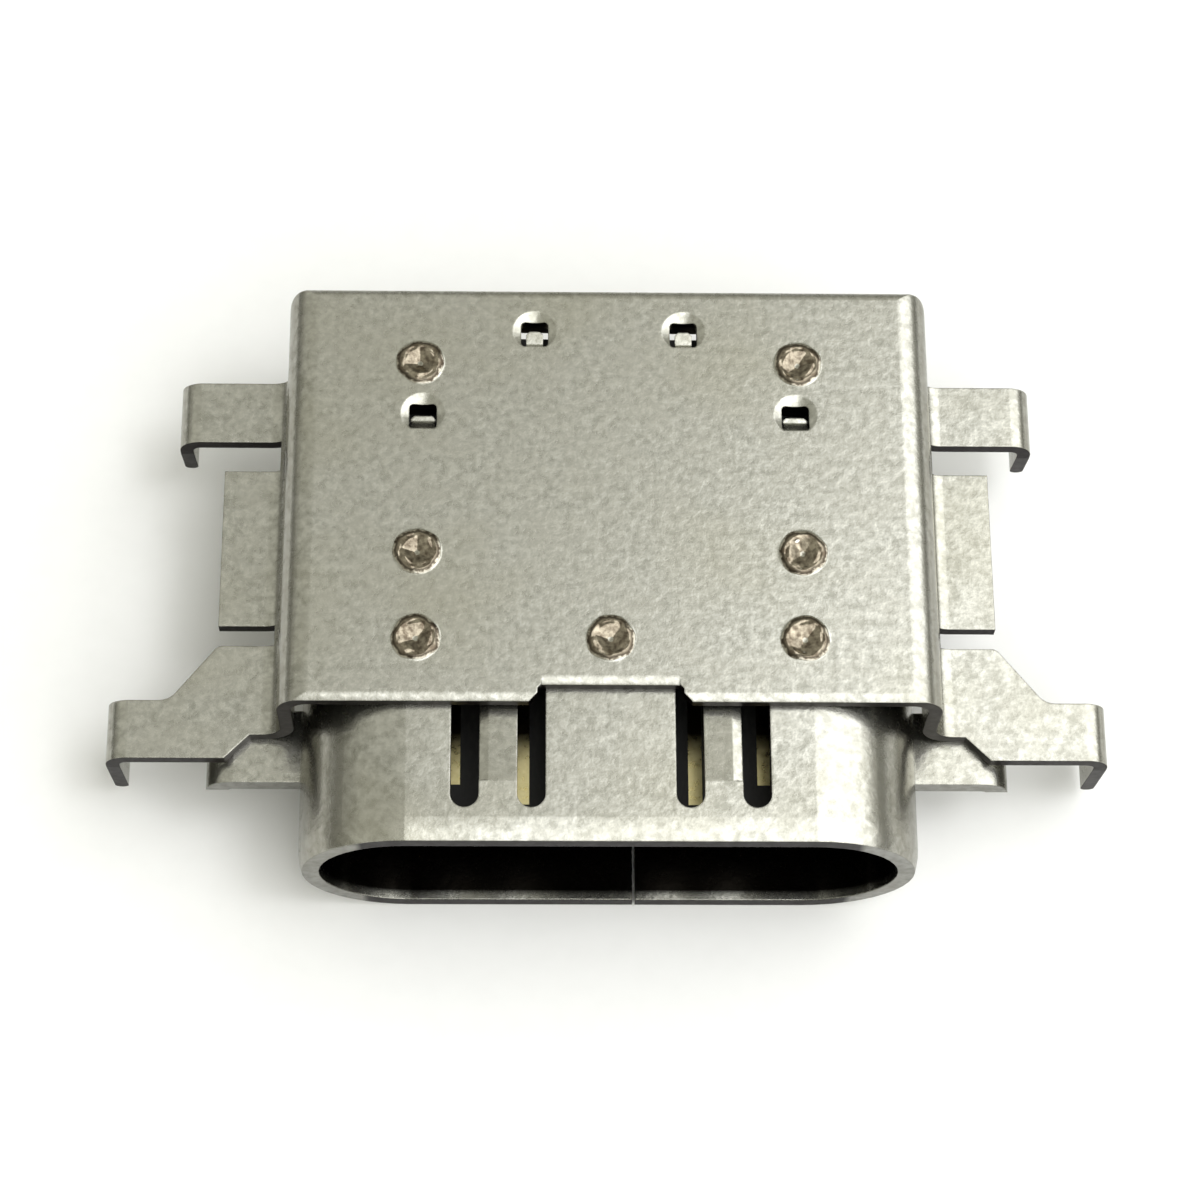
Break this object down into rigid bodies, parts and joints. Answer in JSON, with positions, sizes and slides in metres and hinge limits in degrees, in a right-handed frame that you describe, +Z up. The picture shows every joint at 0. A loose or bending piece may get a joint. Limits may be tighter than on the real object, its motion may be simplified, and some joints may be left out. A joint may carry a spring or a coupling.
{
  "type": "usb-c socket",
  "caption": "Mid-mount oval plug socket: rolled steel shell with spring fingers under a welded, folded cover whose tabs and legs solder to a cut-out in a board.",
  "frame": {"origin": "bottom centre of the box round the whole socket, in the plane of the inner shell's flat underside", "axes": "X across the socket, +Y from the mouth to the back, +Z up from the underside to the cover's roof"},
  "size_m": [0.0146, 0.0086, 0.0034],
  "materials": {
    "nickel_steel": "satin",
    "plain_steel": "satin",
    "contact_gold": "satin",
    "black_resin": "matte"
  },
  "bodies": {
    "root": {"inner_shell": "nickel_steel", "outer_shell": "nickel_steel", "mid_plate": "plain_steel", "ground_plate_upper": "plain_steel", "ground_plate_lower": "plain_steel", "tongue_moulding": "black_resin", "upper_wafer": "black_resin", "lower_wafer": "black_resin", "contact_a1": "contact_gold", "contact_a2": "contact_gold", "contact_a3": "contact_gold", "contact_a4": "contact_gold", "contact_a5": "contact_gold", "contact_a6": "contact_gold", "contact_a7": "contact_gold", "contact_a8": "contact_gold", "contact_a9": "contact_gold", "contact_a10": "contact_gold", "contact_a11": "contact_gold", "contact_a12": "contact_gold", "contact_b1": "contact_gold", "contact_b2": "contact_gold", "contact_b3": "contact_gold", "contact_b4": "contact_gold", "contact_b5": "contact_gold", "contact_b6": "contact_gold", "contact_b7": "contact_gold", "contact_b8": "contact_gold", "contact_b9": "contact_gold", "contact_b10": "contact_gold", "contact_b11": "contact_gold", "contact_b12": "contact_gold"}
  },
  "joints": []
}
